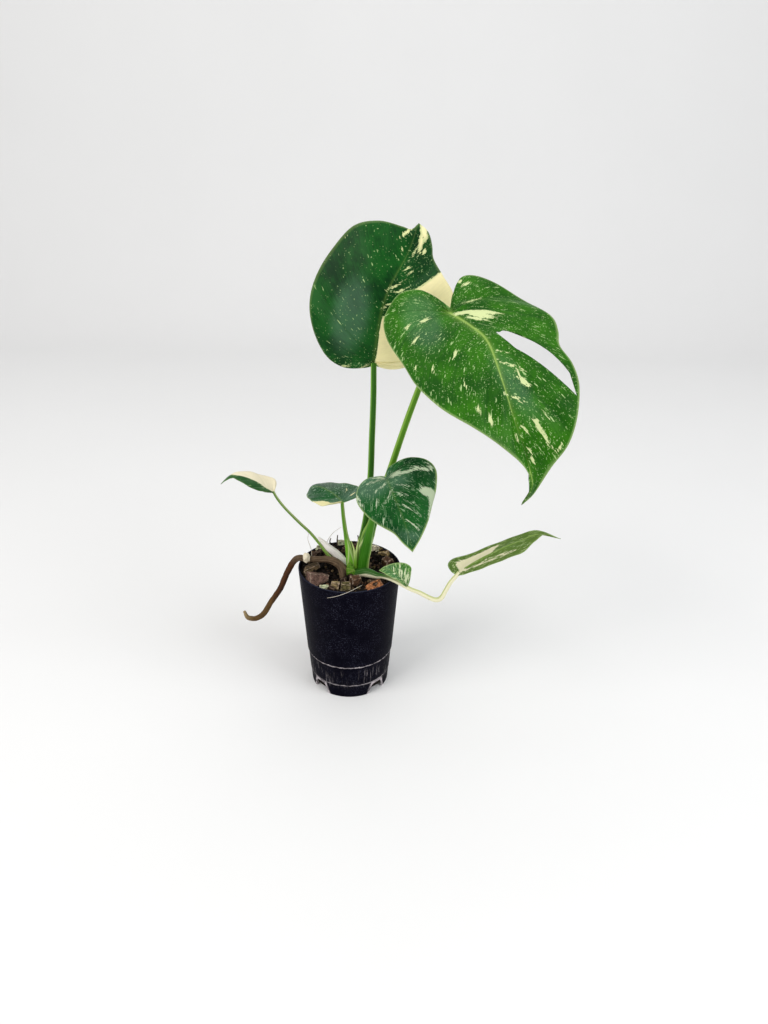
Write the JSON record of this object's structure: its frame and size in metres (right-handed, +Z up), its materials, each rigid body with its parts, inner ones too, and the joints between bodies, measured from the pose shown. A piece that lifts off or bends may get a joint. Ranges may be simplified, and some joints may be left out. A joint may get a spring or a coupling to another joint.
{
  "type": "potted variegated monstera plant",
  "caption": "Young variegated monstera with heart-shaped and split leaves on upright stalks and an aerial root, in a tapered black nursery pot.",
  "frame": {"origin": "centre of the pot's underside, on the small flat boss that it stands on", "axes": "+Z up along the pot's axis, -Y towards the side seen in the picture, +X to the right of it"},
  "size_m": [0.3145, 0.1587, 0.4462],
  "materials": {
    "pot_plastic": "satin, scuffed, with pale lime marks low down",
    "mix": "rough bark and peat mix",
    "crown_tissue": "matte, ringed",
    "root_bark": "matte, knobbly",
    "root_tip": "waxy cream",
    "stalk_green": "smooth, slightly glossy",
    "stalk_pale": "smooth, pale green and cream",
    "leaf_dark": "satin, dark green with cream marbling",
    "leaf_bright": "satin, bright green with cream flecks",
    "leaf_cream": "satin, green and cream halves"
  },
  "bodies": {
    "root": {"pot": "pot_plastic", "potting_mix": "mix", "crown": "crown_tissue", "aerial_root": "root_bark", "root_bud": "root_tip", "petiole_tall": "stalk_green", "petiole_split": "stalk_green", "petiole_heart": "stalk_green", "petiole_small": "stalk_green", "petiole_outer": "stalk_pale", "petiole_low": "stalk_pale", "blade_tall": "leaf_dark", "blade_split": "leaf_bright", "blade_heart": "leaf_dark", "blade_small": "leaf_dark", "blade_outer": "leaf_cream", "blade_low": "leaf_bright", "blade_wing": "leaf_bright"}
  },
  "joints": []
}
